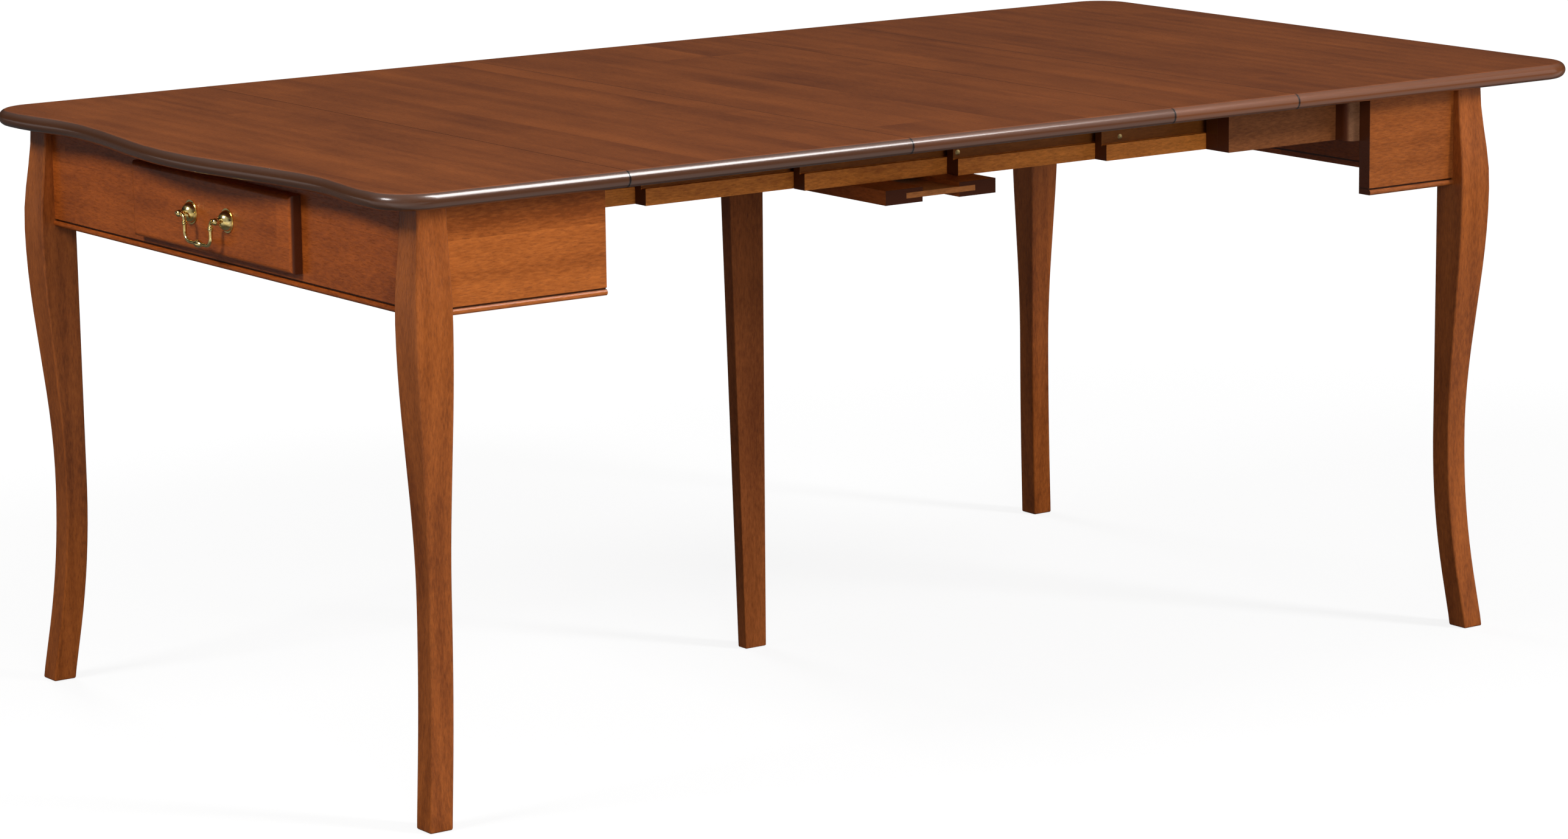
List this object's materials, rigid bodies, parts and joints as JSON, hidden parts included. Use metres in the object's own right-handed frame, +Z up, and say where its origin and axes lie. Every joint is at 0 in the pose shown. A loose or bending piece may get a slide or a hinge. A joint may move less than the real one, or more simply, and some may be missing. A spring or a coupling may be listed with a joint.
{
  "type": "extending console table",
  "caption": "Wooden console table with a bowed front, a drawer, S-curved legs and telescoping slides that let in loose leaves over a middle leg to make a dining table.",
  "frame": {"origin": "on the floor, at the middle of the extended table's bounding box", "axes": "+Z up, the drawer front faces -Y, +Y along the extension towards the back half, +X to the right of someone facing the drawer"},
  "size_m": [1, 1.863, 0.75],
  "materials": {
    "top_wood": "reddish brown stain, semi-gloss lacquer",
    "frame_wood": "reddish brown stain, satin lacquer",
    "slide_wood": "honey brown, bare and waxed",
    "plank_wood": "greyish brown stain, matt",
    "bearer_wood": "reddish brown stain, satin",
    "plywood": "pale, bare",
    "drawer_wood": "pale, bare",
    "peg_wood": "pale, bare dowel",
    "brass": "polished"
  },
  "bodies": {
    "middle_frame": {"slide_c_left": "slide_wood", "slide_c_right": "slide_wood", "bearer_front": "bearer_wood", "bearer_back": "bearer_wood", "bearer_plate": "plywood", "middle_leg": "frame_wood", "middle_leg_block": "drawer_wood"},
    "front_half": {"top_front": "top_wood", "top_pegs_front": "peg_wood", "leg_front_left": "frame_wood", "leg_front_right": "frame_wood", "apron_front_left": "frame_wood", "apron_front_right": "frame_wood", "apron_front_upper": "frame_wood", "apron_front_lower": "frame_wood", "apron_side_front_left": "frame_wood", "apron_side_front_right": "frame_wood", "corner_braces_front": "drawer_wood", "slide_a_left": "slide_wood", "slide_a_right": "slide_wood", "drawer_runner_left": "drawer_wood", "drawer_runner_right": "drawer_wood", "drawer_back_rail": "drawer_wood", "drawer_kicker": "drawer_wood"},
    "drawer": {"drawer_front": "frame_wood", "drawer_box_front": "drawer_wood", "drawer_side_left": "drawer_wood", "drawer_side_right": "drawer_wood", "drawer_back": "drawer_wood", "drawer_bottom": "drawer_wood", "pull_rosettes": "brass", "pull_posts": "brass"},
    "bail": {"pull_bail": "brass"},
    "back_half": {"top_back": "top_wood", "top_pegs_back": "peg_wood", "leg_back_left": "frame_wood", "leg_back_right": "frame_wood", "apron_back": "frame_wood", "apron_side_back_left": "frame_wood", "apron_side_back_right": "frame_wood", "corner_braces_back": "drawer_wood", "slide_f_left": "slide_wood", "slide_f_right": "slide_wood", "slide_plank_left": "plank_wood", "slide_plank_right": "plank_wood", "slide_spacers": "plank_wood"},
    "slide_b_left_member": {"slide_b_left": "slide_wood"},
    "slide_b_right_member": {"slide_b_right": "slide_wood"},
    "slide_d_left_member": {"slide_d_left": "slide_wood"},
    "slide_d_right_member": {"slide_d_right": "slide_wood"},
    "slide_e_left_member": {"slide_e_left": "slide_wood"},
    "slide_e_right_member": {"slide_e_right": "slide_wood"},
    "first_leaf": {"leaf_1": "top_wood", "leaf_pegs_1": "peg_wood"},
    "second_leaf": {"leaf_2": "top_wood", "leaf_pegs_2": "peg_wood"},
    "half_leaf": {"leaf_3": "top_wood"}
  },
  "joints": [
    {"name": "extension", "type": "slide", "parent": "middle_frame", "child": "front_half", "axis": [0, -1, 0], "range_m": [-0.42, 0]},
    {"name": "back_extension", "type": "slide", "parent": "middle_frame", "child": "back_half", "axis": [0, 1, 0], "range_m": [-0.605, 0]},
    {"name": "slide_b_left_run", "type": "slide", "parent": "middle_frame", "child": "slide_b_left_member", "axis": [0, -1, 0], "range_m": [-0.22, 0]},
    {"name": "slide_d_left_run", "type": "slide", "parent": "middle_frame", "child": "slide_d_left_member", "axis": [0, 1, 0], "range_m": [-0.22, 0]},
    {"name": "slide_e_left_run", "type": "slide", "parent": "middle_frame", "child": "slide_e_left_member", "axis": [0, 1, 0], "range_m": [-0.44, 0]},
    {"name": "slide_b_right_run", "type": "slide", "parent": "middle_frame", "child": "slide_b_right_member", "axis": [0, -1, 0], "range_m": [-0.22, 0]},
    {"name": "slide_d_right_run", "type": "slide", "parent": "middle_frame", "child": "slide_d_right_member", "axis": [0, 1, 0], "range_m": [-0.22, 0]},
    {"name": "slide_e_right_run", "type": "slide", "parent": "middle_frame", "child": "slide_e_right_member", "axis": [0, 1, 0], "range_m": [-0.44, 0]},
    {"name": "first_leaf_lift", "type": "slide", "parent": "middle_frame", "child": "first_leaf", "axis": [0, 0, 1], "range_m": [0, 0.252]},
    {"name": "second_leaf_lift", "type": "slide", "parent": "middle_frame", "child": "second_leaf", "axis": [0, 0, 1], "range_m": [0, 0.252]},
    {"name": "half_leaf_lift", "type": "slide", "parent": "middle_frame", "child": "half_leaf", "axis": [0, 0, 1], "range_m": [0, 0.252]},
    {"name": "drawer_run", "type": "slide", "parent": "front_half", "child": "drawer", "axis": [0, -1, 0], "range_m": [0, 0.17]},
    {"name": "bail_pivot", "type": "hinge", "parent": "drawer", "child": "bail", "pos_m": [0, -0.8855, 0.665], "axis": [-1, 0, 0], "range_deg": [0, 90]}
  ],
  "couplings": [
    {"joint": "back_extension", "follows": "extension", "ratio": 1.4405},
    {"joint": "slide_b_left_run", "follows": "extension", "ratio": 0.52381},
    {"joint": "slide_d_left_run", "follows": "extension", "ratio": 0.52381},
    {"joint": "slide_e_left_run", "follows": "extension", "ratio": 1.0476},
    {"joint": "slide_b_right_run", "follows": "extension", "ratio": 0.52381},
    {"joint": "slide_d_right_run", "follows": "extension", "ratio": 0.52381},
    {"joint": "slide_e_right_run", "follows": "extension", "ratio": 1.0476},
    {"joint": "first_leaf_lift", "follows": "extension", "ratio": -0.6},
    {"joint": "second_leaf_lift", "follows": "extension", "ratio": -0.6},
    {"joint": "half_leaf_lift", "follows": "extension", "ratio": -0.6}
  ]
}
